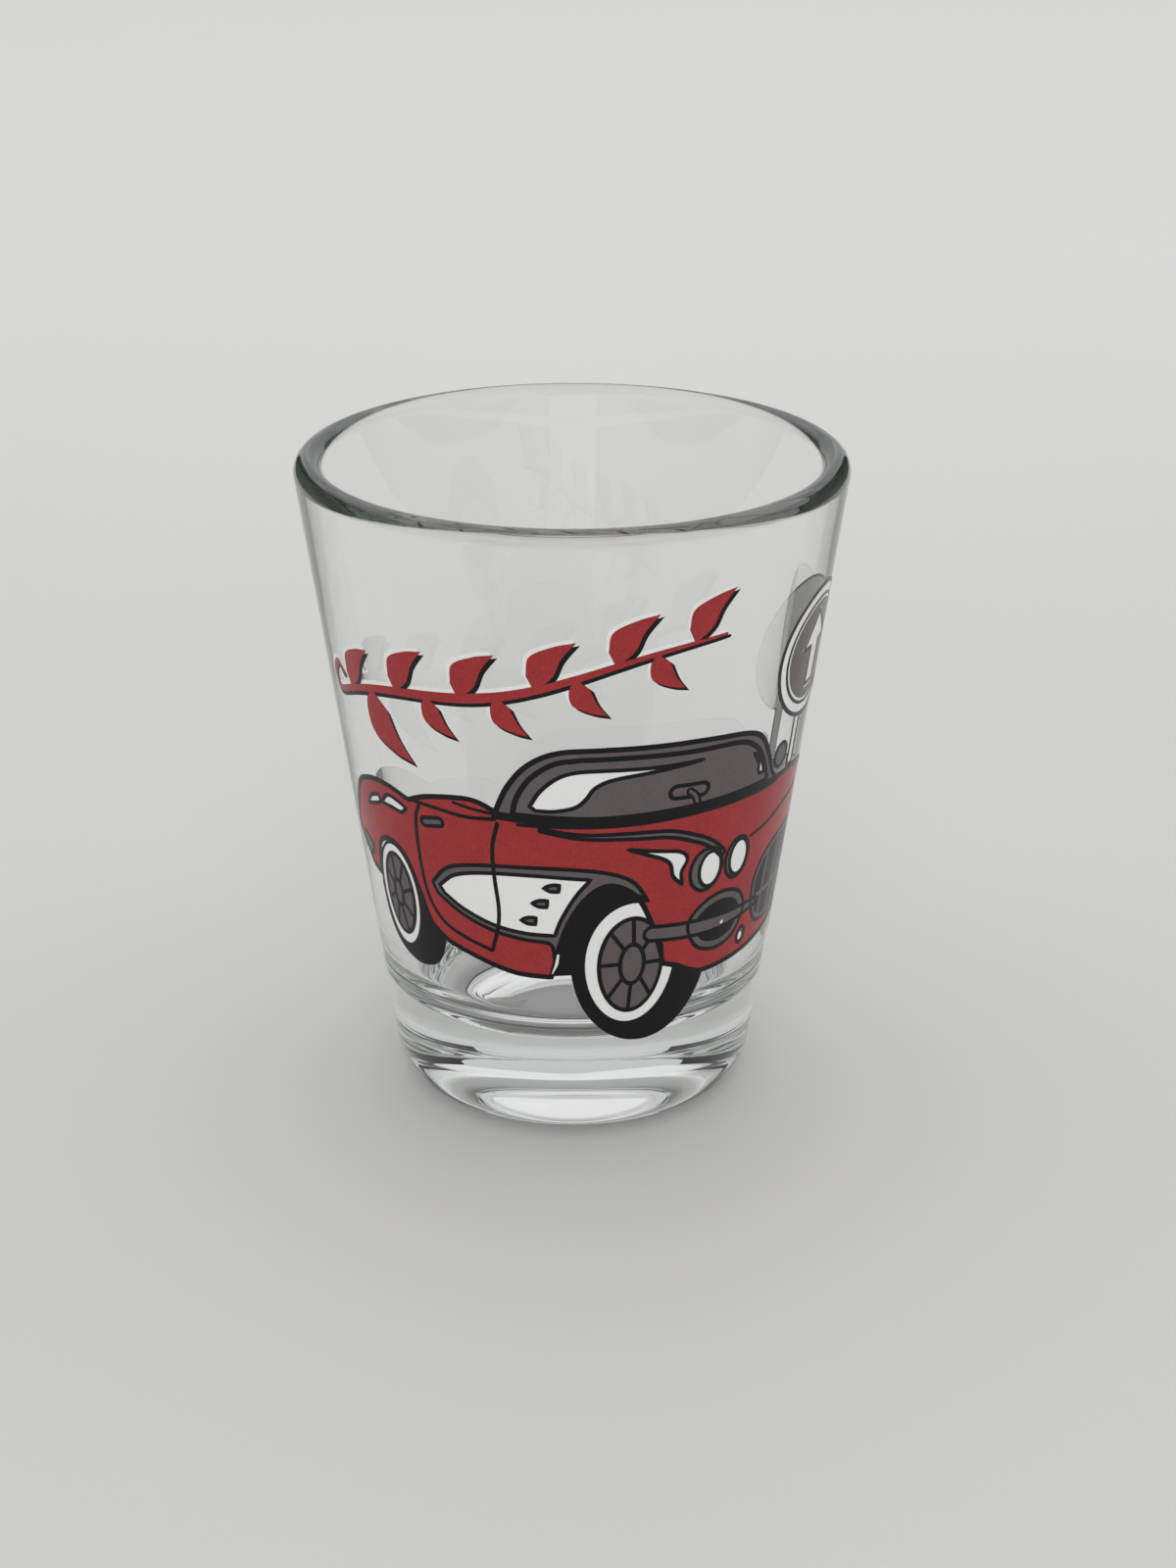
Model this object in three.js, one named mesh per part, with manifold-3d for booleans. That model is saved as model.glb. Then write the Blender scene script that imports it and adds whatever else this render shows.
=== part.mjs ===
// Souvenir shot glass: one pressed glass body with a picture fired on it in four colours of enamel.
// Millimetres, +Z up. The origin is the middle of the foot, in the plane that the glass stands on.
// The picture is laid out flat, as the printer's film is: u runs round the wall to the right of the
// middle of the picture, v is the height above the foot. Each patch of enamel is cut out flat, then
// wrapped on the tapered wall.
import * as THREE from "three";
import { mergeVertices } from "three/addons/utils/BufferGeometryUtils.js";
import Module from "manifold-3d";

const wasm = await Module();
wasm.setup();

// Glass body
const HEIGHT = 60;
const RIM_RADIUS = 24.87;
const FOOT_RADIUS = 16.06; // of the wall's cone where it meets the rest plane
const RIM_WALL = 2.6;
const BASE_WALL = 2.9;
const FLOOR_HEIGHT = 9; // thickness of the solid base
const FLOOR_FILLET = 6;
const HEEL_RADIUS = 4.2;
const RECESS_RADIUS = 12; // domed hollow under the base, inside the ring that it stands on
const RECESS_DEPTH = 3.2;
const RECESS_POWER = 3; // of the dome's curve, which is flat in the middle and steep at the ring
const RECESS_STEPS = 9;
const GLASS_SIDES = 80;

// Enamel
const PRINT_RADIUS = 20.5; // wall radius at the picture's mid height, where u is true length
const FILM = 0.05;
const LAYER_PITCH = 0.12; // from one coat's back to the next coat's back
const CUT_TOLERANCE = 1e-4;
const STRIP = 2.3; // width of the upright strips that a film is wrapped on the wall in
const KEYLINE = 0.5;
const KEYLINE_STEP = 1.5; // between the corners of a key line
const CURVE_STEPS = 2; // from each point of a smooth run to the next
const ELLIPSE_SIDES = 18;

const COLOURS = {
  glass: { color: 0xe4eeea, roughness: 0.02, transparent: true, opacity: 0.35 },
  white: { color: 0xeef0ec, roughness: 0.3 },
  red: { color: 0xa33538, roughness: 0.3 },
  grey: { color: 0x6b6364, roughness: 0.3 },
  black: { color: 0x161618, roughness: 0.3 },
};
const LAYERS = { white: 0, red: 1, grey: 2, black: 3 };

const taper = Math.atan((RIM_RADIUS - FOOT_RADIUS) / HEIGHT);
const wallRadius = (z) => FOOT_RADIUS + z * Math.tan(taper);

function innerRadius(z) {
  const up = (z - FLOOR_HEIGHT) / (HEIGHT - FLOOR_HEIGHT);
  return wallRadius(z) - THREE.MathUtils.lerp(BASE_WALL, RIM_WALL, up) / Math.cos(taper);
}

// Half of the glass's section: hollow, rest ring, heel, outer wall, round rim, bore, fillet, floor.
function glassBody() {
  const heelTop = HEEL_RADIUS * (1 - Math.sin(taper));
  const heelX = wallRadius(heelTop) - HEEL_RADIUS * Math.cos(taper);
  const rimRound = RIM_WALL / 2;
  const rimZ = HEIGHT - rimRound;
  const rimX = wallRadius(rimZ) - rimRound / Math.cos(taper);
  const boreTaper = Math.atan((innerRadius(HEIGHT) - innerRadius(FLOOR_HEIGHT)) / (HEIGHT - FLOOR_HEIGHT));
  const filletFoot = FLOOR_HEIGHT + FLOOR_FILLET * (1 - Math.sin(boreTaper));
  const filletX = innerRadius(filletFoot) - FLOOR_FILLET * Math.cos(boreTaper);
  const section = new THREE.Path();
  section.moveTo(0, RECESS_DEPTH);
  for (let i = 1; i <= RECESS_STEPS; i++) {
    const way = Math.sqrt(i / RECESS_STEPS);
    section.lineTo(RECESS_RADIUS * way, RECESS_DEPTH * (1 - way ** RECESS_POWER));
  }
  section.lineTo(heelX, 0);
  section.absarc(heelX, HEEL_RADIUS, HEEL_RADIUS, -Math.PI / 2, -taper, false);
  section.absarc(rimX, rimZ, rimRound, -taper, Math.PI / 2, false);
  section.absarc(rimX, rimZ, rimRound, Math.PI / 2, Math.PI - taper, false);
  section.absarc(filletX, FLOOR_HEIGHT + FLOOR_FILLET, FLOOR_FILLET, -boreTaper, -Math.PI / 2, true);
  section.lineTo(0, FLOOR_HEIGHT);
  const geometry = new THREE.LatheGeometry(section.getPoints(4), GLASS_SIDES);
  geometry.rotateX(Math.PI / 2);
  return geometry;
}

const point = ([u, v]) => new THREE.Vector2(u, v);

// A closed outline from runs of points. A run is one smooth curve, and the outline turns a corner
// where one run ends and the next begins. The last run comes back to the first point.
function outline(start, ...runs) {
  const shape = new THREE.Shape();
  shape.moveTo(...start);
  for (const run of runs) shape.splineThru(run.map(point));
  shape.splineThru([point(start)]);
  return shape;
}

function ellipse(u, v, halfWidth, halfHeight) {
  const round = new THREE.EllipseCurve(u, v, halfWidth, halfHeight);
  return new THREE.Shape(round.getPoints(ELLIPSE_SIDES).slice(0, -1));
}

// The outline of a pen line along a smooth curve. Its width is a number, or a function of the way
// along it.
function penLine(points, width, steps = 2 * points.length) {
  const curve = new THREE.SplineCurve(points.map(point));
  const widthAt = typeof width === "number" ? () => width : width;
  const edge = (side) =>
    Array.from({ length: steps + 1 }, (_, i) => {
      const { x, y } = curve.getTangentAt(i / steps);
      const across = new THREE.Vector2(-y, x).multiplyScalar((side * widthAt(i / steps)) / 2);
      return curve.getPointAt(i / steps).add(across);
    });
  return new THREE.Shape([...edge(-1), ...edge(1).reverse()]);
}

// The outline moved out by a distance, or in where the distance is negative.
function grown(shape, distance) {
  const places = shape.getSpacedPoints(Math.ceil(shape.getLength() / KEYLINE_STEP)).slice(0, -1);
  const out = THREE.ShapeUtils.isClockWise(places) ? -distance : distance;
  const moved = places.map((place, i) => {
    const along = places[(i + 1) % places.length].clone().sub(places.at(i - 1)).normalize();
    return new THREE.Vector2(along.y, -along.x).multiplyScalar(out).add(place);
  });
  return new THREE.Shape(moved);
}

function flatSolid(shape) {
  const options = { depth: FILM, bevelEnabled: false, curveSegments: CURVE_STEPS };
  const plate = new THREE.ExtrudeGeometry(shape, options);
  plate.deleteAttribute("normal");
  plate.deleteAttribute("uv");
  const merged = mergeVertices(plate, 1e-4);
  return new wasm.Manifold(
    new wasm.Mesh({
      numProp: 3,
      vertProperties: merged.attributes.position.array,
      triVerts: new Uint32Array(merged.index.array),
    }),
  );
}

const solidOf = (piece) => (piece instanceof THREE.Shape ? flatSolid(piece) : piece);
const join = (pieces) => pieces.map(solidOf).reduce((all, one) => all.add(one));

// The triangles of a solid as corner points, with those that lie in the line u = cut moved right on to it.
function trianglesOf(solid, cuts) {
  const { numProp, vertProperties, triVerts } = solid.getMesh();
  const corner = (vertex) => {
    const place = new THREE.Vector3().fromArray(vertProperties, vertex * numProp);
    place.x = cuts.find((cut) => Math.abs(cut - place.x) < CUT_TOLERANCE) ?? place.x;
    return place;
  };
  const triangles = [];
  for (let i = 0; i < triVerts.length; i += 3) triangles.push([...triVerts.subarray(i, i + 3)].map(corner));
  return triangles.filter((corners) => !cuts.some((cut) => corners.every(({ x }) => x === cut)));
}

// The triangles again, each split wherever a neighbour across the line u = cut has a corner on its edge.
function stitched(triangles, cut) {
  const onCut = triangles.flat().filter(({ x }) => x === cut);
  return triangles.flatMap((corners) => {
    const turn = [0, 1, 2].find((i) => corners[i].x === cut && corners[(i + 1) % 3].x === cut);
    if (turn === undefined) return [corners];
    const [from, to, tip] = [0, 1, 2].map((i) => corners[(turn + i) % 3]);
    const edge = new THREE.Line3(from, to);
    const wayTo = (place) => edge.closestPointToPointParameter(place, false);
    const at = (way) => edge.at(way, new THREE.Vector3());
    const between = onCut
      .filter((place) => at(wayTo(place)).distanceTo(place) < CUT_TOLERANCE)
      .map(wayTo)
      .filter((way) => way > 0 && way < 1);
    const places = [0, ...new Set(between), 1].sort((one, other) => one - other).map(at);
    return places.slice(1).map((place, i) => [places[i], place, tip]);
  });
}

// The solid's triangles in upright strips, narrow enough to follow the round wall once they are wrapped.
function strips(solid) {
  const { min, max } = solid.boundingBox();
  const cuts = [];
  for (let cut = Math.ceil(min[0] / STRIP) * STRIP; cut < max[0]; cut += STRIP) cuts.push(cut);
  let rest = solid.asOriginal(); // without the seams that the joined shapes left on its faces
  let triangles = [];
  for (const cut of cuts) {
    const [right, left] = rest.splitByPlane([1, 0, 0], cut);
    triangles.push(...trianglesOf(left, cuts));
    rest = right;
  }
  triangles.push(...trianglesOf(rest, cuts));
  for (const cut of cuts) triangles = stitched(triangles, cut);
  return new THREE.BufferGeometry().setFromPoints(triangles.flat());
}

// A patch of enamel: the shapes joined, less the openings, wrapped on the wall at its coat's height.
function enamel(name, colour, shapes, openings = [], layer = LAYERS[colour]) {
  const solid = openings.length ? join(shapes).subtract(join(openings)) : join(shapes);
  const film = strips(solid);
  const place = film.attributes.position;
  for (let i = 0; i < place.count; i++) {
    const lift = LAYER_PITCH * (1 + layer) + place.getZ(i);
    const round = place.getX(i) / PRINT_RADIUS;
    const radius = wallRadius(place.getY(i)) + lift;
    place.setXYZ(i, radius * Math.sin(round), -radius * Math.cos(round), place.getY(i));
  }
  return mesh(name, film, colour);
}

function mesh(name, geometry, colour) {
  const finish = new THREE.MeshStandardMaterial({ metalness: 0, ...COLOURS[colour] });
  const made = new THREE.Mesh(geometry, finish);
  made.name = name;
  return made;
}

// Open two-seat roadster, seen from its front left corner.
const bodywork = outline(
  [-26.2, 26.8],
  [[-25.2, 29.4], [-23.4, 32.1], [-20.8, 33.3], [-18, 33.5], [-15.4, 32.9]],
  [[-13.2, 33.8], [-10.2, 34.4], [-8.2, 34.4], [-6.2, 33.5]],
  [[4, 33], [21.2, 33.2]],
  [[26, 32.9], [31, 31.4], [35.4, 27.6], [36.4, 22], [34.8, 18.6]],
  [[28, 17.6], [20.5, 16.5], [14.3, 16.1], [9.1, 17.9]],
  [[7.3, 22.9], [5.8, 25.4], [3.4, 26.6], [1.3, 25.4], [-0.6, 22.2], [-2, 17.3]],
  [[-5.5, 17.5], [-12.6, 19.5]],
  [[-14.5, 21], [-15.6, 24], [-17, 26.9], [-19, 27.8], [-21, 26.8], [-22, 23.4]],
  [[-23.6, 24], [-24.8, 25.6]],
);
const screen = outline(
  [-6.7, 33.2],
  [[-5.3, 36.3], [-3.4, 38.6], [-0.9, 39.8], [3, 40]],
  [[12, 39.7], [15.9, 39.2], [17.9, 38.2], [19.3, 36.1], [21.5, 32.9]],
  [[12, 32.8], [2, 32.6]],
);
const screenGlint = outline(
  [-3.5, 34.5],
  [[-2.6, 36], [-1.2, 37.3], [0.4, 37.9], [3, 38], [11.4, 37.9]],
  [[3.6, 37.1], [2, 36.4], [1.2, 35.3], [0.3, 34.5], [-1.4, 34.1], [-3, 34.1]],
);
const sideFlash = outline(
  [-12.9, 25.1],
  [[-10.9, 26.6], [-7.5, 27.4], [1.7, 27.3]],
  [[-0.9, 23.4], [-1.6, 21.6]],
  [[-7.5, 22.2], [-12.4, 24.4]],
);
const arch = outline(
  [-2.2, 17.4],
  [[-0.6, 22.2], [1.3, 25.4], [3.4, 26.6], [5.9, 25.4], [7.4, 22.9]],
  [[6, 18]],
);
const frontTyre = ellipse(7.1, 18.4, 7.2, 8.1);
const frontWall = ellipse(5.75, 18.5, 4.5, 6.1);
const frontDisc = ellipse(5.75, 18.3, 3.15, 4.75);
const rearTyre = outline(
  [-22.1, 22.4],
  [[-20, 17], [-17.4, 15.95], [-15, 16.3], [-12.9, 19.5]],
  [[-14.5, 21], [-17.4, 27.4], [-19.4, 27.6], [-21.2, 26]],
);
const rearWall = ellipse(-18.8, 22.4, 2.8, 4.95);
const rearDisc = ellipse(-18.75, 22.5, 2.1, 3.95);
const lenses = [ellipse(13.4, 26.6, 1.25, 1.75), ellipse(16.95, 26.8, 1.2, 1.75)];
const grille = outline(
  [20.1, 22.2],
  [[21.2, 25.2], [24.6, 26.6], [28.6, 26.5], [31.4, 23.4], [30.6, 19.8], [27, 18.4], [21.8, 18.7]],
);
const bumper = penLine([[7.6, 21.2], [11.5, 20.85], [16, 20.7], [21, 20.95]], 1.3);
const doorFront = [[-6.4, 33.3], [-7, 30], [-6.8, 24], [-7.9, 18.2]];
const doorRear = [[-14.2, 33.2], [-14.9, 27], [-12.9, 21.4], [-7.8, 19.5]];

function roadster() {
  const outer = [bodywork, screen].map((shape) => grown(shape, KEYLINE / 2));
  const inner = [bodywork, screen].map((shape) => grown(shape, -KEYLINE / 2));
  const edges = join(outer).subtract(join(inner));
  const behind = join([frontTyre, arch]).subtract(join([bodywork]));
  const doorLines = [doorFront, doorRear].map((points) => penLine(points, KEYLINE));
  const whitewall = join([frontWall]).subtract(join(outer));
  const lines = [edges, behind, rearTyre, ...doorLines];
  return [
    enamel("car_white_underlay", "white", [bodywork, screen, frontTyre, rearTyre, arch]),
    enamel("car_red_bodywork", "red", [bodywork], [sideFlash, ...lenses]),
    enamel("car_grey_windscreen", "grey", [screen], [screenGlint]),
    enamel("car_grey_grille_and_bumper", "grey", [grille, bumper]),
    enamel("car_grey_front_wheel_disc", "grey", [frontDisc], [bodywork, bumper]),
    enamel("car_grey_rear_wheel_disc", "grey", [rearDisc]),
    enamel("car_black_keyline", "black", lines, [whitewall, rearWall]),
  ];
}

// Spray of leaves over the car: a rising stem with a curl at its foot and leaves to either side of it.
const SPRAY_START = [-23.6, 41];
const SPRAY_END = [12.2, 49.6];
const LEAVES = 11;
const CURL = [[-22.6, 42.9], [-23.6, 43.6], [-24.6, 42.6], [-24.3, 41.3]];
const LEAF_BASE = [-0.2, -0.1];
const LEAF_RIB = [[1.2, 1.2], [1.9, 2.9], [3, 4.5]];
const LEAF_BOW = [[1.3, 4.1], [-0.5, 3.1], [-0.8, 1.3]];
const stemAt = (way) => [
  THREE.MathUtils.lerp(SPRAY_START[0], SPRAY_END[0], way),
  THREE.MathUtils.lerp(SPRAY_START[1], SPRAY_END[1], way) + 0.5 * Math.sin(3 * Math.PI * way),
];

// The shapes of the spray, moved by (du, dv) for a coat that shows past another.
function sprayShapes(du, dv) {
  const stem = [...CURL, ...Array.from({ length: 7 }, (_, i) => stemAt(i / 6))];
  const swell = (way) => 0.5 + 0.5 * Math.sin(Math.PI * way);
  const shapes = [penLine(stem.map(([u, v]) => [u + du, v + dv]), swell)];
  for (let i = 0; i < LEAVES; i++) {
    const [u, v] = stemAt((i + 0.8) / (LEAVES + 0.6));
    const side = i % 2 ? -1 : 1;
    const scale = i === 1 ? 1.35 : side < 0 ? 0.8 : 1;
    const placed = ([x, y]) => [u + du + scale * x, v + dv + side * scale * y];
    shapes.push(outline(placed(LEAF_BASE), LEAF_RIB.map(placed), LEAF_BOW.map(placed)));
  }
  return shapes;
}

function spray() {
  return [
    enamel("scroll_white_underlay", "white", sprayShapes(-0.2, 0.28)),
    enamel("scroll_black_shadow", "black", sprayShapes(0.28, -0.26), [], 1),
    enamel("scroll_red_face", "red", sprayShapes(0, 0), [], 2),
  ];
}

// Round roadside sign on a post, to the right of the car.
function sign() {
  const board = ellipse(25.4, 44.2, 6.4, 6);
  const face = ellipse(25.4, 44.2, 4.9, 4.5);
  const post = outline([23.4, 34], [[23.4, 40]], [[24.4, 40]], [[24.4, 34]]);
  return [
    enamel("sign_white_underlay", "white", [board, post]),
    enamel("sign_grey_face", "grey", [face]),
    enamel("sign_black_keyline", "black", [grown(board, 0)], [grown(board, -KEYLINE)]),
  ];
}

const glass = new THREE.Group();
glass.add(mesh("glass_body", glassBody(), "glass"), ...roadster(), ...spray(), ...sign());
export default glass;
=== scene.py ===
import math

import bpy
import numpy as np
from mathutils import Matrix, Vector, geometry


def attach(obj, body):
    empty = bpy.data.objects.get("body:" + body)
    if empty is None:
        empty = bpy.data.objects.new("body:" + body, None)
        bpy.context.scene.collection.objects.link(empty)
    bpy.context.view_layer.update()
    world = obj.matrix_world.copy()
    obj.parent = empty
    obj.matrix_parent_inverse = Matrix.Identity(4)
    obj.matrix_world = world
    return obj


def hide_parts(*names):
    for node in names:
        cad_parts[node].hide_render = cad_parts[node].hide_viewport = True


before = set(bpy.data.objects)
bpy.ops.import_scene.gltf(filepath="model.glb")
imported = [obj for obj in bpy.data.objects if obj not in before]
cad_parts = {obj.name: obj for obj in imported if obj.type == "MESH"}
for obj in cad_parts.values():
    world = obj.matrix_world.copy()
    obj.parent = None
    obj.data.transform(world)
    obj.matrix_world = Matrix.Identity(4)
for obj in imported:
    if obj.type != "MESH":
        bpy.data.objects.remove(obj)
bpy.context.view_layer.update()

scene = bpy.context.scene


# ---------------------------------------------------------------- Glass body
# One piece of pressed soda-lime glass: a tapered wall with a fire-polished round rim, on a thick
# solid base. It stands on a narrow ring round a domed hollow. Its section is turned round the axis.
MM = 0.001
HEIGHT = 60.0
RIM_RADIUS = 24.87
FOOT_RADIUS = 16.06
RIM_WALL = 2.6
BASE_WALL = 2.9
FLOOR_HEIGHT = 9.0
FLOOR_FILLET = 6.0
HEEL_RADIUS = 4.2
RECESS_RADIUS = 12.0
RECESS_DEPTH = 3.2
RECESS_POWER = 3
GLASS_SIDES = 512
TAPER = math.atan((RIM_RADIUS - FOOT_RADIUS) / HEIGHT)


def wall_radius(z):
    return FOOT_RADIUS + z * math.tan(TAPER)


def inner_radius(z):
    up = (z - FLOOR_HEIGHT) / (HEIGHT - FLOOR_HEIGHT)
    return wall_radius(z) - (BASE_WALL + (RIM_WALL - BASE_WALL) * up) / math.cos(TAPER)


def arc(centre, radius, start, end, steps):
    turns = np.linspace(start, end, steps + 1)
    return [(centre[0] + radius * math.cos(t), centre[1] + radius * math.sin(t)) for t in turns]


class Wire:
    """One output of a node. Arithmetic on it adds Math nodes."""

    def __init__(self, graph, socket):
        self.graph, self.socket = graph, socket

    def math(self, operation, *values):
        return self.graph.node("ShaderNodeMath", {"operation": operation}, dict(enumerate(values)))

    def __add__(self, other):
        return self.math("ADD", self, other)

    def __sub__(self, other):
        return self.math("SUBTRACT", self, other)

    def __mul__(self, other):
        return self.math("MULTIPLY", self, other)

    def __truediv__(self, other):
        return self.math("DIVIDE", self, other)

    def __mod__(self, other):
        return self.math("FLOORED_MODULO", self, other)

    def __rsub__(self, other):
        return self.math("SUBTRACT", other, self)

    def __rtruediv__(self, other):
        return self.math("DIVIDE", other, self)

    def __rmod__(self, other):
        return self.math("FLOORED_MODULO", other, self)

    __radd__, __rmul__ = __add__, __mul__


class Graph:
    """A node tree, with one method that adds any node to it and one that feeds a node."""

    def __init__(self, tree):
        self.tree = tree

    def node(self, kind, settings=None, sockets=None, output=0):
        made = self.tree.nodes.new(kind)
        for name, value in (settings or {}).items():
            setattr(made, name, value)
        self.feed(made, sockets or {})
        return Wire(self, made.outputs[output])

    def feed(self, made, sockets):
        for key, value in sockets.items():
            if isinstance(value, Wire):
                self.tree.links.new(value.socket, made.inputs[key])
            else:
                made.inputs[key].default_value = value


def material(name):
    """A new material with its graph and its Principled shader's node."""
    made = bpy.data.materials.new(name)
    made.use_nodes = True
    return made, Graph(made.node_tree), made.node_tree.nodes["Principled BSDF"]


def add_piece(name, mesh):
    piece = bpy.data.objects.new(name, mesh)
    scene.collection.objects.link(piece)
    return piece


# The section, from the middle of the hollow round the outside and over the rim to the cup's floor.
heel_top = HEEL_RADIUS * (1 - math.sin(TAPER))
heel_x = wall_radius(heel_top) - HEEL_RADIUS * math.cos(TAPER)
rim_round = RIM_WALL / 2
rim_z = HEIGHT - rim_round
rim_x = wall_radius(rim_z) - rim_round / math.cos(TAPER)
bore = math.atan((inner_radius(HEIGHT) - inner_radius(FLOOR_HEIGHT)) / (HEIGHT - FLOOR_HEIGHT))
fillet_foot = FLOOR_HEIGHT + FLOOR_FILLET * (1 - math.sin(bore))
fillet_x = inner_radius(fillet_foot) - FLOOR_FILLET * math.cos(bore)
hollow = [
    (RECESS_RADIUS * way, RECESS_DEPTH * (1 - way ** RECESS_POWER)) for way in np.linspace(0, 1, 25)
]
glass_section = (
    hollow
    + arc((heel_x, HEEL_RADIUS), HEEL_RADIUS, -math.pi / 2, -TAPER, 24)
    + arc((rim_x, rim_z), rim_round, -TAPER, math.pi - TAPER, 48)
    + arc((fillet_x, FLOOR_HEIGHT + FLOOR_FILLET), FLOOR_FILLET, -bore, -math.pi / 2, 32)
    + [(fillet_x * way, FLOOR_HEIGHT) for way in np.linspace(1, 0, 13)[1:]]
)

# Clear glass, very slightly green in its depth, with the faint waviness of a pressed wall.
clear_glass, graph, shader = material("clear_glass")
place = graph.node("ShaderNodeTexCoord", output=3)
waves = graph.node("ShaderNodeTexNoise", None, {"Vector": place, "Scale": 110.0, "Detail": 1.0})
ripple = {"Strength": 1.0, "Distance": 0.00002, "Height": waves}
graph.feed(shader, {
    "Base Color": (1, 1, 1, 1),
    "Roughness": 0.0,
    "IOR": 1.52,
    "Transmission Weight": 1.0,
    "Normal": graph.node("ShaderNodeBump", None, ripple),
})
tint = {"Color": (0.865, 0.885, 0.872, 1), "Density": 36.0}
depth = graph.node("ShaderNodeVolumeAbsorption", None, tint)
graph.feed(graph.tree.nodes["Material Output"], {"Volume": depth})

# Nodes that turn the section, drawn as a line of points in the XZ plane, round the Z axis.
lathe = bpy.data.node_groups.new("Lathe", "GeometryNodeTree")
lathe.interface.new_socket("Section", in_out="INPUT", socket_type="NodeSocketGeometry")
sides = lathe.interface.new_socket("Sides", in_out="INPUT", socket_type="NodeSocketInt")
lathe.interface.new_socket("Solid", in_out="OUTPUT", socket_type="NodeSocketGeometry")
graph = Graph(lathe)
section = graph.node("NodeGroupInput", output=0)
count = graph.node("NodeGroupInput", output=1)
points = graph.node("GeometryNodeAttributeDomainSize", {"component": "MESH"}, {0: section})
grid = graph.node("GeometryNodeMeshGrid", None, {"Vertices X": count + 1, "Vertices Y": points})
index = graph.node("GeometryNodeInputIndex")
position = graph.node("GeometryNodeInputPosition")
vectors = {"data_type": "FLOAT_VECTOR", "domain": "POINT"}
along = graph.node(
    "GeometryNodeSampleIndex", vectors, {0: section, 1: position, 2: index % points}
)
column = graph.node("ShaderNodeMath", {"operation": "FLOOR"}, {0: index / points})
turn = {"Vector": along, "Angle": column / count * (2 * math.pi)}
spun = graph.node("ShaderNodeVectorRotate", {"rotation_type": "Z_AXIS"}, turn)
placed = graph.node("GeometryNodeSetPosition", None, {"Geometry": grid, "Position": spun})
seam = {"Geometry": placed, "Distance": 0.5e-6}
joined = graph.node("GeometryNodeMergeByDistance", None, seam)
polish = {"Geometry": joined, "Shade Smooth": True}
smooth = graph.node("GeometryNodeSetShadeSmooth", None, polish)
real = graph.node("GeometryNodeRealizeInstances", None, {"Geometry": smooth})
glazed = {"Geometry": real, "Material": clear_glass}
solid = graph.node("GeometryNodeSetMaterial", None, glazed)
graph.feed(lathe.nodes.new("NodeGroupOutput"), {0: solid})

line = bpy.data.meshes.new("glass_section")
corners = [(x * MM, 0, z * MM) for x, z in glass_section]
line.from_pydata(corners, [(i, i + 1) for i in range(len(corners) - 1)], [])
blank = add_piece("glass_blank", line)
turning = blank.modifiers.new("Lathe", "NODES")
turning.node_group = lathe
turning[sides.identifier] = GLASS_SIDES
depsgraph = bpy.context.evaluated_depsgraph_get()
turned = bpy.data.meshes.new_from_object(blank.evaluated_get(depsgraph))
turned.materials.pop(index=0)
glass = add_piece("turned_glass", turned)
bpy.data.objects.remove(blank)
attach(glass, "root")
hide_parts("glass_body")


# ---------------------------------------------------------------- Car, white coat
# The picture is screen printed in four coats of glass enamel and fired on. This one lies under all of
# the car. It is drawn flat in millimetres, with u round the wall to the right of the picture's middle
# and v up from the foot, and each film is then wrapped on the wall.
PRINT_RADIUS = 20.5
MESH_PITCH = 0.55
ROW_PITCH = 0.87 * MESH_PITCH
CURVE_STEP = 0.22
UNDERLAY_SHIFTS = ((0, 0), (-0.1, 0.16))


def enamel(name, colour, grain, mottle, film):
    """Fired enamel: glossy, with the fine grain of the frit and broader uneven patches.

    It comes with the film that a coat of it makes: how far its back and its face are off the wall.
    """
    made, graph, shader = material(name)
    place = graph.node("ShaderNodeTexCoord", output=3)
    fine = graph.node("ShaderNodeTexNoise", None, {"Vector": place, "Scale": 5200.0, "Detail": 2.0})
    broad = graph.node("ShaderNodeTexNoise", None, {"Vector": place, "Scale": 420.0, "Detail": 3.0})
    shade = {0: colour, "Scale": 1.0 + (fine - 0.5) * grain + (broad - 0.5) * mottle}
    relief = {"Strength": 1.0, "Distance": 0.000003, "Height": fine + broad}
    graph.feed(shader, {
        "Base Color": graph.node("ShaderNodeVectorMath", {"operation": "SCALE"}, shade),
        "Roughness": 0.22 + (fine - 0.5) * 0.12,
        "Specular IOR Level": 0.2,
        "Normal": graph.node("ShaderNodeBump", None, relief),
    })
    return made, film


def smooth_run(points):
    """Points along a Catmull-Rom curve through the given ones, without the last."""
    ends = [2 * points[0] - points[1]] + points + [2 * points[-1] - points[-2]]
    places = []
    for before, start, end, after in zip(ends, ends[1:], ends[2:], ends[3:]):
        count = max(2, round(np.linalg.norm(end - start) / CURVE_STEP))
        for way in np.arange(count) / count:
            cubic = 3 * (start - end) + after - before
            square = 2 * before - 5 * start + 4 * end - after
            places.append(start + 0.5 * way * (end - before + way * (square + way * cubic)))
    return places


def outline(start, *runs):
    """A closed outline: each run is one smooth curve, and it turns a corner where a run ends."""
    places, here = [], start
    for run in (*runs, [start]):
        places += smooth_run([np.array(p, float) for p in (here, *run)])
        here = run[-1]
    return np.array(places)


def ellipse(u, v, half_width, half_height):
    count = max(16, round(2 * math.pi * max(half_width, half_height) / 0.2))
    turns = np.linspace(0, 2 * math.pi, count, endpoint=False)
    return np.stack([u + half_width * np.cos(turns), v + half_height * np.sin(turns)], axis=1)


def signed_area(shape):
    after = np.roll(shape, -1, axis=0)
    return np.sum(shape[:, 0] * after[:, 1] - after[:, 0] * shape[:, 1]) / 2


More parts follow.
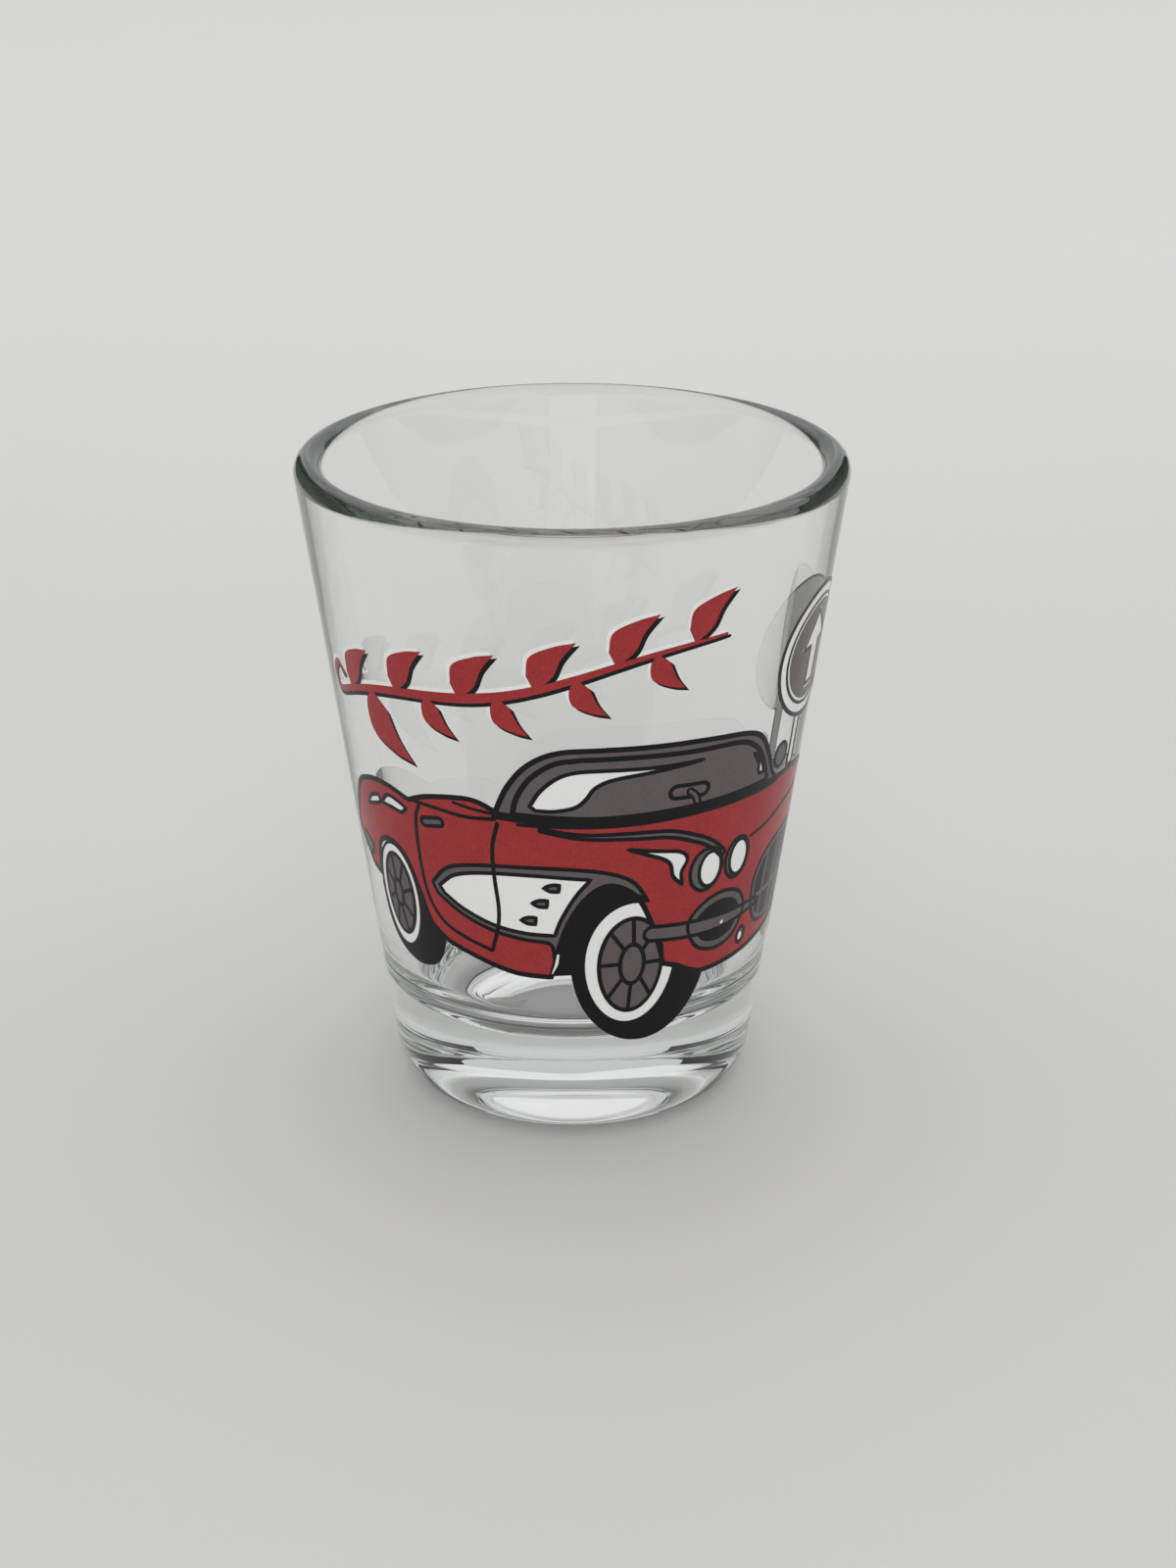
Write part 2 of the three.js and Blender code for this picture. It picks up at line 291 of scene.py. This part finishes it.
def inside(shape, spots):
    """Which of the spots an outline goes round, in the outline's own sense."""
    held = np.zeros(len(spots), bool)
    near = np.all((spots >= shape.min(axis=0)) & (spots <= shape.max(axis=0)), axis=1)
    start = shape if signed_area(shape) > 0 else shape[::-1]
    end = np.roll(start, -1, axis=0)
    u, v = spots[near].T[:, :, None]
    run, rise = (end - start).T
    side = run * (v - start[:, 1]) - (u - start[:, 0]) * rise
    rising = (start[:, 1] <= v) & (end[:, 1] > v) & (side > 0)
    falling = (start[:, 1] > v) & (end[:, 1] <= v) & (side < 0)
    held[near] = rising.sum(axis=1) > falling.sum(axis=1)
    return held


def printed(name, coat, shapes, openings=()):
    """The patch of enamel that covers the shapes and leaves the openings free.

    A shape is an outline, or a tuple of an outline and the outlines that are left out of it.
    """
    parts = [shape if isinstance(shape, tuple) else (shape,) for shape in shapes]
    outlines = [shape for part in parts for shape in part] + list(openings)
    low = np.min([shape.min(axis=0) for shape in outlines], axis=0)
    high = np.max([shape.max(axis=0) for shape in outlines], axis=0)
    places, edges = [], []
    for row, v in enumerate(np.arange(low[1], high[1], ROW_PITCH)):
        for u in np.arange(low[0], high[0], MESH_PITCH):
            places.append(Vector((u + (row % 2) * MESH_PITCH / 2, v)))
    for shape in outlines:
        first, count = len(places), len(shape)
        places += [Vector(p) for p in shape]
        edges += [(first + i, first + (i + 1) % count) for i in range(count)]
    flat, _, triangles = geometry.delaunay_2d_cdt(places, edges, [], 0, 1e-5, False)[:3]
    flat = np.array(flat)
    middles = flat[np.array(triangles)].mean(axis=1)
    covered = np.zeros(len(middles), bool)
    for shape, *left_out in parts:
        here = inside(shape, middles)
        for hole in left_out:
            here &= ~inside(hole, middles)
        covered |= here
    for hole in openings:
        covered &= ~inside(hole, middles)
    kept = [triangle for triangle, keep in zip(triangles, covered) if keep]
    return wrapped(name, coat, flat, kept)


def wrapped(name, coat, flat, triangles):
    """A closed film on the wall over flat triangles, with its back just under the glass's surface."""
    finish, (back, face) = coat
    used = sorted({corner for triangle in triangles for corner in triangle})
    order = {corner: i for i, corner in enumerate(used)}
    triangles = [[order[corner] for corner in triangle] for triangle in triangles]
    count = len(used)
    places = []
    for lift in (face, back):
        for corner in used:
            u, v = flat[corner]
            radius = (wall_radius(v) + lift / math.cos(TAPER)) * MM
            turn = u / PRINT_RADIUS
            places.append((radius * math.sin(turn), -radius * math.cos(turn), v * MM))
    edges = {(a, b) for t in triangles for a, b in zip(t, t[1:] + t[:1])}
    rim = [(a, b) for a, b in edges if (b, a) not in edges]
    faces = triangles + [[i + count for i in reversed(t)] for t in triangles]
    faces += [[a + count, b + count, b, a] for a, b in sorted(rim)]
    mesh = bpy.data.meshes.new(name)
    mesh.from_pydata(places, [], faces)
    mesh.shade_smooth()
    sharp = {tuple(sorted(pair)) for a, b in rim for pair in ((a, b), (a + count, b + count))}
    for edge in mesh.edges:
        edge.use_edge_sharp = tuple(sorted(edge.vertices)) in sharp
    mesh.materials.append(finish)
    return add_piece(name, mesh)


WHITE = enamel("white_enamel", (0.88, 0.89, 0.87), 0.06, 0.08, (-0.030, 0.010))
bodywork = outline(
    (-26.2, 26.8),
    [(-25.2, 29.4), (-23.4, 32.1), (-20.8, 33.3), (-18.0, 33.5), (-15.4, 32.9)],
    [(-13.2, 33.8), (-10.2, 34.4), (-8.2, 34.4), (-6.2, 33.5)],
    [(0, 33.0), (10, 33.1), (21.2, 33.2)],
    [(26, 32.9), (31, 31.4), (35.4, 27.6), (36.4, 22), (34.8, 18.6)],
    [(28.0, 17.6), (20.5, 16.5), (14.3, 16.1), (12.2, 16.6), (10.8, 17.3), (9.1, 17.9)],
    [(8.3, 20.4), (7.3, 22.9), (5.8, 25.4), (3.4, 26.6), (1.3, 25.4), (-0.6, 22.2), (-2.0, 17.3)],
    [(-5.5, 17.5), (-9.0, 18.4), (-12.6, 19.5)],
    [(-14.5, 21.0), (-15.6, 24.0), (-17.0, 26.9), (-19.0, 27.8), (-21.0, 26.8), (-22.0, 23.4)],
    [(-23.6, 24.0), (-24.8, 25.6)],
)
windscreen = outline(
    (-6.7, 33.2),
    [(-5.3, 36.3), (-3.4, 38.6), (-0.9, 39.8), (3, 40.0)],
    [(8, 39.9), (12, 39.7), (15.9, 39.2), (17.9, 38.2), (19.3, 36.1), (20.3, 34.1), (21.5, 32.9)],
    [(12, 32.8), (2, 32.6)],
)
front_tyre = ellipse(7.1, 18.4, 7.2, 8.1)
rear_tyre = outline(
    (-22.1, 22.4),
    [(-21.6, 19.2), (-20.0, 17.0), (-17.4, 15.95), (-15.0, 16.3), (-13.6, 17.6), (-12.9, 19.5)],
    [(-14.5, 21.0), (-15.8, 25), (-17.4, 27.4), (-19.4, 27.6), (-21.2, 26)],
)
far_tyre = outline((29.8, 17.7), [(30.2, 14.6), (32.4, 13.1), (34.8, 14.4), (35.5, 19.0)])
arch = outline(
    (-2.2, 17.4), [(-0.6, 22.2), (1.3, 25.4), (3.4, 26.6), (5.9, 25.4), (7.4, 22.9)], [(6, 18)]
)
side_mirror = ellipse(21.5, 35.3, 1.05, 1.15)

silhouettes = [bodywork, windscreen, front_tyre, rear_tyre, far_tyre, side_mirror, arch]
underlay = [shape + shift for shape in silhouettes for shift in UNDERLAY_SHIFTS]
car_underlay = printed("car_underlay", WHITE, underlay)
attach(car_underlay, "root")
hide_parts("car_white_underlay")


# ---------------------------------------------------------------- Car, red coat
# Red enamel, the most uneven of the four, printed over the white. The side flash, the lamps and the
# small glints are gaps in it, through which the white shows.
RED = enamel("red_enamel", (0.36, 0.034, 0.036), 0.75, 0.30, (-0.022, 0.020))


def pen(points, width, ends=(1.0, 1.0)):
    """A pen line with round ends. Its width swells from the first end's share of it to the last's."""
    spots = [np.array(p, float) for p in points]
    path = np.array(smooth_run(spots) + [spots[-1]])
    along = np.gradient(path, axis=0)
    along /= np.linalg.norm(along, axis=1)[:, None]
    way = np.linspace(0, 1, len(path))
    share = np.maximum(np.interp(way, [0, 0.5, 1], [ends[0], 1, ends[1]]), 0.02)
    reach = np.stack([-along[:, 1], along[:, 0]], axis=1) * (width / 2 * share)[:, None]

    def cap(centre, heading, radius):
        turns = heading + np.linspace(math.pi / 2, -math.pi / 2, 7)[1:-1]
        return centre + radius * np.stack([np.cos(turns), np.sin(turns)], axis=1)

    last = math.atan2(along[-1][1], along[-1][0])
    first = math.atan2(-along[0][1], -along[0][0])
    end_cap = cap(path[-1], last, width / 2 * share[-1])
    start_cap = cap(path[0], first, width / 2 * share[0])
    return np.concatenate([path + reach, end_cap, (path - reach)[::-1], start_cap])


side_flash = outline(
    (-12.9, 25.1),
    [(-10.9, 26.6), (-7.5, 27.4), (-3.0, 27.6), (1.7, 27.3)],
    [(0.4, 25.7), (-0.9, 23.4), (-1.6, 21.6)],
    [(-4.5, 21.7), (-7.5, 22.2), (-10.5, 23.3), (-12.4, 24.4)],
)
near_lens = ellipse(13.4, 26.6, 1.25, 1.75)
far_lens = ellipse(16.95, 26.8, 1.2, 1.75)
tail_lamps = [
    outline((-22.1, 30.4), [(-21.3, 31.4), (-19.9, 32.0)], [(-19.7, 31.3), (-20.8, 30.8)]),
    outline(
        (-19.4, 31.4), [(-18.4, 32.4), (-17.3, 32.4), (-15.8, 31.9)], [(-16.6, 31.3), (-17.8, 31.4)]
    ),
]
turn_lens = ellipse(19.15, 18.0, 0.32, 0.42)
screen_glint = outline(
    (-3.5, 34.5),
    [(-2.6, 36.0), (-1.2, 37.3), (0.4, 37.9), (3, 38.0), (7, 37.9), (11.4, 37.9)],
    [(7, 37.5), (3.6, 37.1), (2.0, 36.4), (1.2, 35.3), (0.3, 34.5), (-1.4, 34.1), (-3.0, 34.1)],
)
small_glint = outline(
    (17.0, 37.0), [(18.0, 36.2), (18.6, 35.2), (18.8, 34.6)], [(18.1, 34.7), (17.9, 35.7)]
)
fender_glint = outline(
    (4.9, 30.1),
    [(7.5, 29.6), (9.9, 29.1), (10.7, 28.2), (10.2, 27.0), (10.4, 25.7)],
    [(9.4, 26.7), (9.0, 28.0), (8.2, 28.7), (6.6, 29.4)],
)
lip_glint = pen([(-1.3, 19.6), (-1.5, 18.6), (-1.9, 17.7)], 0.3, (0.8, 0.4))
rivet = ellipse(15.8, 20.5, 0.2, 0.2)

white_marks = [screen_glint, small_glint, fender_glint, turn_lens, rivet, lip_glint, near_lens]
white_marks += tail_lamps
car_bodywork = printed("car_bodywork", RED, [bodywork], [side_flash, far_lens, *white_marks])
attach(car_bodywork, "root")
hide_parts("car_red_bodywork")


# ---------------------------------------------------------------- Car, grey coat
# Warm grey enamel for the windscreen, the bright trim, the grille and the wheel discs. It is four
# separate patches, printed over the white and the red.
GREY = enamel("grey_enamel", (0.125, 0.106, 0.108), 0.45, 0.20, (-0.014, 0.028))


def closed(*points):
    """A closed outline, smooth all round."""
    spots = [np.array(p, float) for p in points]
    count = len(spots)
    places = smooth_run([spots[i % count] for i in range(-2, count + 3)])
    laps = [i for i, p in enumerate(places) if np.allclose(p, spots[0])]
    return np.array(places[laps[0]:laps[1]])


flash_trim = outline(
    (-13.7, 25.2),
    [(-11.6, 27.2), (-8.0, 28.1), (-3.4, 28.4), (0.4, 28.3), (3.4, 27.8), (5.6, 26.7), (7.1, 24.6)],
    [(5.9, 25.4), (3.4, 26.6), (1.3, 25.4), (-0.6, 22.2), (-1.6, 18.9)],
    [(-2.0, 20.7), (-4.2, 21.0), (-7.2, 21.5), (-10.4, 22.6), (-13.2, 24.2)],
)
vents = [
    outline(
        (u - 0.75, v),
        [(u - 0.1, v + 0.32), (u + 0.7, v + 0.38)],
        [(u + 0.62, v - 0.32)],
        [(u - 0.1, v - 0.3)],
    )
    for u, v in ((-1.8, 26.4), (-2.9, 24.8), (-4.0, 23.0))
]
mouth_rim = closed(
    (11.5, 21.2), (12.8, 23.0), (15.3, 23.75), (17.8, 23.0),
    (18.9, 21.0), (17.8, 18.8), (15.4, 18.05), (12.8, 18.8),
)
grille_rim = closed(
    (20.1, 22.2), (21.2, 25.2), (24.6, 26.6), (28.6, 26.5),
    (31.4, 23.4), (30.6, 19.8), (27.0, 18.4), (21.8, 18.7),
)
handle = pen([(-13.7, 31.2), (-12.1, 31.55)], 0.8)
bonnet_trim = pen(
    [(-2.6, 32.2), (0.8, 31.6), (5, 31.4), (8.6, 31.1), (11.2, 30.2), (13.1, 29.2), (14.6, 27.9)],
    0.62,
    (0.4, 1.0),
)
bumper = pen([(7.6, 21.2), (11.5, 20.85), (16, 20.7), (21.0, 20.95)], 1.5, (0.95, 0.5))
tail_bumper = outline(
    (-25.8, 26.3), [(-24.4, 26.6), (-22.8, 25.9)], [(-23.4, 24.9), (-25.0, 25.2)]
)
lamp_rims = [
    ellipse(12.95, 26.65, 1.8, 2.1),
    ellipse(16.75, 26.8, 1.55, 2.0),
    ellipse(31.4, 27.0, 1.4, 2.0),
    ellipse(34.0, 26.6, 1.1, 1.9),
]
turn_lamp = ellipse(19.2, 18.1, 0.62, 0.8)
front_disc = ellipse(5.75, 18.3, 3.15, 4.75)
rear_disc = ellipse(-18.75, 22.5, 2.1, 3.95)

car_windscreen = printed("car_windscreen", GREY, [windscreen], [screen_glint, small_glint])
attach(car_windscreen, "root")
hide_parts("car_grey_windscreen")

trims = [mouth_rim, grille_rim, handle, side_mirror, bonnet_trim, bumper, tail_bumper]
trims += [*lamp_rims, turn_lamp]
trim_shapes = [(flash_trim, side_flash), *vents, *trims]
car_trim = printed("car_trim", GREY, trim_shapes, [far_lens, *white_marks])
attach(car_trim, "root")
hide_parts("car_grey_grille_and_bumper")

front_wheel_disc = printed("front_wheel_disc", GREY, [(front_disc, bodywork)])
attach(front_wheel_disc, "root")
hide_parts("car_grey_front_wheel_disc")

rear_wheel_disc = printed("rear_wheel_disc", GREY, [rear_disc])
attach(rear_wheel_disc, "root")
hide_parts("car_grey_rear_wheel_disc")


# ---------------------------------------------------------------- Car, black coat
# Black enamel, printed last: the tyres round their white walls, the openings in the nose, and the
# key lines that draw the edges of everything else. It is all one patch.
BLACK = enamel("black_enamel", (0.006, 0.006, 0.007), 0.30, 0.20, (-0.006, 0.036))
BOLD_LINE = 0.5
FINE_LINE = 0.38
WHEEL_LINE = 0.42
SPOKES = 8


def grown(shape, distance):
    """A closed outline moved out by a distance, or in where it is negative."""
    along = np.roll(shape, -1, axis=0) - np.roll(shape, 1, axis=0)
    along /= np.linalg.norm(along, axis=1)[:, None]
    sense = 1 if signed_area(shape) > 0 else -1
    return shape + sense * distance * np.stack([along[:, 1], -along[:, 0]], axis=1)


def ring(shape, width):
    """A line of the given width along a closed outline, as a shape and what is left out of it."""
    return (grown(shape, width / 2), grown(shape, -width / 2))


def spokes(hub, disc, width, turn):
    """Black lines between a wheel's hub cap and the edge of its disc, which the bumper covers."""
    marks = []
    for number in range(SPOKES):
        way = (number + turn) / SPOKES
        inner, outer = hub[int(way * len(hub))], disc[int(way * len(disc))]
        marks.append((pen([inner, (inner + outer) / 2, outer], width), bumper))
    return marks


pane = outline(
    (-5.0, 33.6),
    [(-4.6, 35.2), (-3.4, 37.2), (-1.4, 38.7), (0.8, 39.1)],
    [(5, 39.1), (10, 38.9), (14.9, 38.6), (17.1, 37.6), (18.5, 35.9), (19.6, 33.6)],
    [(12, 33.5), (2, 33.3)],
)
dash = outline(
    (-4.4, 33.2),
    [(2, 33.4), (9, 33.7), (14, 33.6), (19.4, 33.8)],
    [(19.8, 33.2)],
    [(10, 33.1), (2, 32.8)],
)
mirror = pen([(9.0, 35.15), (11.5, 35.0)], 1.2)
mirror_stem = pen([(10.3, 35.0), (10.9, 34.4), (11.2, 33.4)], 0.8)
front_wall = ellipse(5.75, 18.5, 4.5, 6.1)
front_hub = ellipse(5.85, 18.35, 1.2, 2.0)
rear_wall = ellipse(-18.8, 22.4, 2.8, 4.95)
rear_hub = ellipse(-18.95, 22.5, 0.65, 1.3)
mouth = grown(mouth_rim, -0.75)
grille = grown(grille_rim, -0.55)
grille_bars = [
    pen([(u, 18.4), (u + 0.1, 22.4), (u + 0.3, 26.6)], 0.55) for u in (22.3, 24.6, 26.9, 29.2)
]
grille_bars.append(pen([(20.3, 21.3), (25.6, 21.5), (31.2, 21.4)], 0.5))
panel_lines = [
    pen([(-6.4, 32.5), (-7.0, 30), (-7.0, 27), (-6.8, 24), (-7.0, 22), (-7.7, 19.6)], 0.38),
    pen(
        [(-14.2, 32.7), (-14.8, 31), (-14.9, 27), (-14.4, 23.6), (-12.9, 21.4), (-10.5, 20.3),
         (-7.8, 19.5)],
        0.38,
    ),
    pen([(-15.4, 33.0), (-12.2, 32.9), (-9.4, 32.7), (-6.6, 32.9)], 0.36),
    pen([(-10.4, 33.9), (-8.6, 33.6), (-6.4, 33.4)], 0.3),
    pen([(18.4, 28.4), (21, 28.9), (24, 29.7), (28, 30.2)], 0.34),
    pen([(-4.6, 32.6), (4, 32.5), (12, 32.7), (21.4, 32.8)], 0.3),
]

fine_edges = [side_flash, flash_trim, *vents, screen_glint, small_glint, fender_glint]
fine_edges += [far_lens, near_lens, *tail_lamps, *trims]
black_shapes = [
    (front_tyre, front_wall, bodywork, bumper),
    (rear_tyre, rear_wall),
    (arch, front_wall, bodywork),
    far_tyre,
    (mouth, bumper),
    (grille, *grille_bars),
    dash,
    *panel_lines,
    (mirror_stem, grown(mirror_stem, -0.25)),
    (grown(mirror, 0.2), grown(mirror, -0.2), mirror_stem),
]
black_shapes += [(*ring(shape, BOLD_LINE), bumper) for shape in (bodywork, windscreen, pane)]
black_shapes += [ring(shape, FINE_LINE) for shape in fine_edges]
for shape in (front_disc, front_hub, rear_disc, rear_hub):
    black_shapes.append((*ring(shape, WHEEL_LINE), bumper))
black_shapes += spokes(front_hub, front_disc, 0.4, 0.0)
black_shapes += spokes(rear_hub, rear_disc, 0.34, 0.35)
car_keyline = printed("car_keyline", BLACK, black_shapes, [rivet, lip_glint])
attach(car_keyline, "root")
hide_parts("car_black_keyline")


# ---------------------------------------------------------------- Leaf scroll
# A rising spray of leaves over the car: red enamel over a black shadow that shows below and to the
# right, on a white coat that shows above and to the left. Each coat is one patch.
SPRAY_START = (-23.6, 41.0)
SPRAY_END = (12.2, 49.6)
LEAVES = 11
HIGHLIGHT_SHIFT = (-0.2, 0.28)
SHADOW_SHIFT = (0.28, -0.26)


def spray_stem(way):
    u, v = (start + (end - start) * way for start, end in zip(SPRAY_START, SPRAY_END))
    return np.array((u, v + 0.5 * math.sin(way * math.pi * 3)))


def spray(shift, grow):
    """The outlines of the stem, its curl and its leaves, moved by a shift and made fatter."""
    curl = [(-22.6, 42.9), (-23.6, 43.6), (-24.6, 42.6), (-24.3, 41.3)]
    stem = [np.array(p) for p in curl] + [spray_stem(i / 12) for i in range(13)]
    shapes = [pen(stem, 1.0, (0.5, 0.3))]
    foot, tip = (-0.2, -0.1), (3.0, 4.5)
    rib = [(1.2, 1.2), (1.9, 2.9)]
    bow = [(1.3, 4.1), (-0.5, 3.1), (-0.8, 1.3)]
    for number in range(LEAVES):
        side = -1 if number % 2 else 1
        size = 1.35 if number == 1 else 1.0 - 0.2 * (side < 0)
        if side > 0:
            leaf = outline(foot, rib + [tip], bow)
        else:
            leaf = outline(foot, bow[::-1] + [tip], rib[::-1])
        place = spray_stem((number + 0.8) / (LEAVES + 0.6))
        shapes.append(place + leaf * np.array((size, side * size)))
    return [grown(shape, grow) + shift for shape in shapes]


scroll_underlay = printed("scroll_underlay", WHITE, spray(HIGHLIGHT_SHIFT, 0.06))
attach(scroll_underlay, "root")
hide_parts("scroll_white_underlay")

scroll_shadow = printed("scroll_shadow", BLACK, spray(SHADOW_SHIFT, 0.0), spray((0, 0), -0.03))
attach(scroll_shadow, "root")
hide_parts("scroll_black_shadow")

scroll_face = printed("scroll_face", RED, spray((0, 0), 0.0))
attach(scroll_face, "root")
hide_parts("scroll_red_face")


# ---------------------------------------------------------------- Roadside sign
# A round sign board on a post to the right of the car, in white, grey and black enamel. The arrow in
# its middle is a gap in the grey.
SIGN = (25.4, 44.2)
BOARD_LINE = 0.4
SIGN_LINE = 0.3


def arrow(scale):
    """An arrow that points straight up, in the middle of the sign."""
    half = [(0, 3.6), (-2.7, 0.5), (-1.0, 0.5), (-1.0, -3.2)]
    corners = half + [(-u, v) for u, v in half[:0:-1]]
    return np.array(SIGN) + scale * outline(corners[0], *([corner] for corner in corners[1:]))


board = ellipse(*SIGN, 6.4, 6.0)
post = outline((23.3, 33.6), [(23.3, 40)], [(24.4, 40)], [(24.4, 33.6)])
sign_underlay = printed("sign_underlay", WHITE, [board, post])
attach(sign_underlay, "root")
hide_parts("sign_white_underlay")

sign_face = printed("sign_face", GREY, [(ellipse(*SIGN, 4.9, 4.5), arrow(1.12))])
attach(sign_face, "root")
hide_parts("sign_grey_face")

sign_lines = [ring(board, BOARD_LINE), (*ring(post, SIGN_LINE), board)]
sign_lines += [ring(edge, SIGN_LINE) for edge in (ellipse(*SIGN, 5.3, 4.9), arrow(1.0))]
sign_keyline = printed("sign_keyline", BLACK, sign_lines)
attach(sign_keyline, "root")
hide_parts("sign_black_keyline")


# ---------------------------------------------------------------- Floor and light
# A pale sweep under an even white sky, with a soft box behind the glass and one over the viewer. The
# two dark cards at the sides are seen only in the glass, where they draw the edges of rim and base.
FLOOR_REACH = 3
WORLD_STRENGTH = 0.66
BACK_POWER = 1.8
FRONT_POWER = 1.3
CARD_SIDE = 0.12
CARD_ENDS = (-0.6, 0.3)
CARD_FOOT = 0.04
CARD_HEIGHT = 0.16

pale_floor, graph, shader = material("pale_floor")
place = graph.node("ShaderNodeTexCoord", output=3)
back = graph.node("ShaderNodeSeparateXYZ", None, {0: place}, 1)
# Painted light: the floor's colour is made lighter towards the back, where more light falls, not a
# change in the paper.
painted_light_fade = graph.node("ShaderNodeMapRange", None, {0: back, 1: -0.12, 2: 0.35, 3: 0.73, 4: 0.87})
paper_and_painted_light = {0: (1.0, 1.0, 0.985), "Scale": painted_light_fade}
graph.feed(shader, {
    "Base Color": graph.node("ShaderNodeVectorMath", {"operation": "SCALE"}, paper_and_painted_light),
    "Roughness": 0.6,
})
sweep = bpy.data.meshes.new("floor")
corners = [(x * FLOOR_REACH, y * FLOOR_REACH, 0) for x, y in ((-1, -1), (1, -1), (1, 1), (-1, 1))]
sweep.from_pydata(corners, [], [(0, 1, 2, 3)])
sweep.materials.append(pale_floor)
add_piece("floor", sweep)

near, far = CARD_ENDS
for side, name in ((-CARD_SIDE, "left_card"), (CARD_SIDE, "right_card")):
    matt_black, graph, shader = material(name)
    graph.feed(shader, {"Base Color": (0.02, 0.02, 0.02, 1), "Specular IOR Level": 0.0})
    sheet = bpy.data.meshes.new(name)
    corners = [
        (side, near, CARD_FOOT),
        (side, far, CARD_FOOT),
        (side, far, CARD_HEIGHT),
        (side, near, CARD_HEIGHT),
    ]
    sheet.from_pydata(corners, [], [(0, 1, 2, 3)])
    sheet.materials.append(matt_black)
    card = add_piece(name, sheet)
    card.visible_camera = False
    card.visible_diffuse = False
    card.visible_shadow = False

sky = bpy.data.worlds.new("soft_sky")
sky.use_nodes = True
background = sky.node_tree.nodes["Background"]
background.inputs["Color"].default_value = (1, 1, 1, 1)
background.inputs["Strength"].default_value = WORLD_STRENGTH
scene.world = sky


def soft_box(name, place, size, power):
    """A rectangular lamp that faces the middle of the glass."""
    light = bpy.data.lights.new(name, "AREA")
    light.shape, light.energy = "RECTANGLE", power
    light.size, light.size_y = size
    made = bpy.data.objects.new(name, light)
    made.location = place
    facing = Vector((0, 0, HEIGHT / 2 * MM)) - Vector(place)
    made.rotation_euler = facing.to_track_quat("-Z", "Y").to_euler()
    scene.collection.objects.link(made)
    return made


soft_box("back_box", (0.1, 0.35, 0.9), (1.5, 1.5), BACK_POWER)
front_box = soft_box("front_box", (0, -0.8, 0.40), (0.6, 0.3), FRONT_POWER)
front_box.visible_glossy = False
front_box.visible_transmission = False


# ---------------------------------------------------------------- Camera
# A close view from the front and a little above. The glass needs many bounces, because light crosses
# the thick base and the wall over and over.
CAMERA_PLACE = (0.00141, -0.2724, 0.1375)
CAMERA_TILT = math.radians(90 - 21.86)
BOUNCES = 96

camera = bpy.data.objects.new("camera", bpy.data.cameras.new("camera"))
camera.data.sensor_width = 36
camera.data.lens = 73.06
camera.data.clip_start = 0.01
camera.location = CAMERA_PLACE
camera.rotation_euler = (CAMERA_TILT, 0, 0)
scene.collection.objects.link(camera)
scene.camera = camera
scene.view_settings.view_transform = "Standard"
scene.cycles.max_bounces = BOUNCES
scene.cycles.transmission_bounces = BOUNCES
scene.cycles.glossy_bounces = BOUNCES
